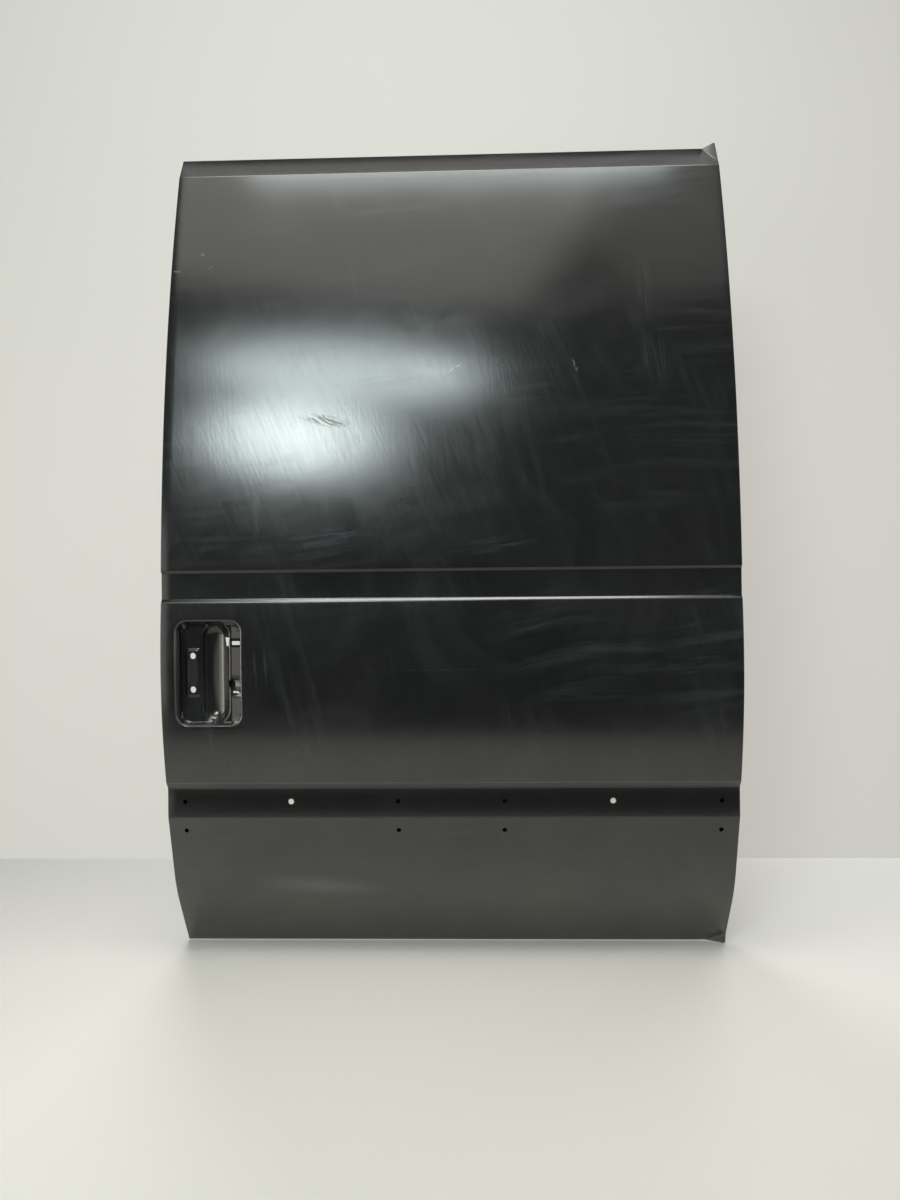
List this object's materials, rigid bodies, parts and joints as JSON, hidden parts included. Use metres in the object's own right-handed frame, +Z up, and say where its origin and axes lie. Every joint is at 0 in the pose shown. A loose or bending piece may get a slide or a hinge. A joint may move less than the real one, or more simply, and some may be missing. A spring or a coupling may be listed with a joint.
{
  "type": "van sliding door shell",
  "caption": "Bare pressed-steel shell of a van's sliding side door: outer skin with a handle pocket and waist and sill pressings, hemmed over an inner frame.",
  "frame": {"origin": "middle of the flat seat of the middle roller bracket's reinforcement plate, on the inner side near the rear edge at waist height", "axes": "+Z up along the door's top-to-bottom chord, -Y out of the van through the outer skin, +X from the handle edge to the roller bracket edge"},
  "size_m": [1.13, 0.2053, 1.6661],
  "materials": {
    "skin_primer": "satin",
    "frame_primer": "satin",
    "mastic": "matte"
  },
  "bodies": {
    "root": {"outer_skin": "skin_primer", "handle_pocket": "skin_primer", "front_stile": "frame_primer", "lower_rear_stile": "frame_primer", "upper_rear_stile": "frame_primer", "top_rail": "frame_primer", "bottom_rail": "frame_primer", "waist_rail": "frame_primer", "lower_inner_panel": "frame_primer", "centre_post": "frame_primer", "lower_brace": "frame_primer", "upper_brace": "frame_primer", "handle_backing_plate": "frame_primer", "lock_plate": "frame_primer", "rear_catch_plate": "frame_primer", "middle_bracket_plate": "frame_primer", "upper_arm_plate": "frame_primer", "lower_arm_plate": "frame_primer", "waist_mastic": "mastic", "lower_brace_mastic": "mastic", "upper_brace_mastic": "mastic", "centre_post_mastic": "mastic"}
  },
  "joints": []
}
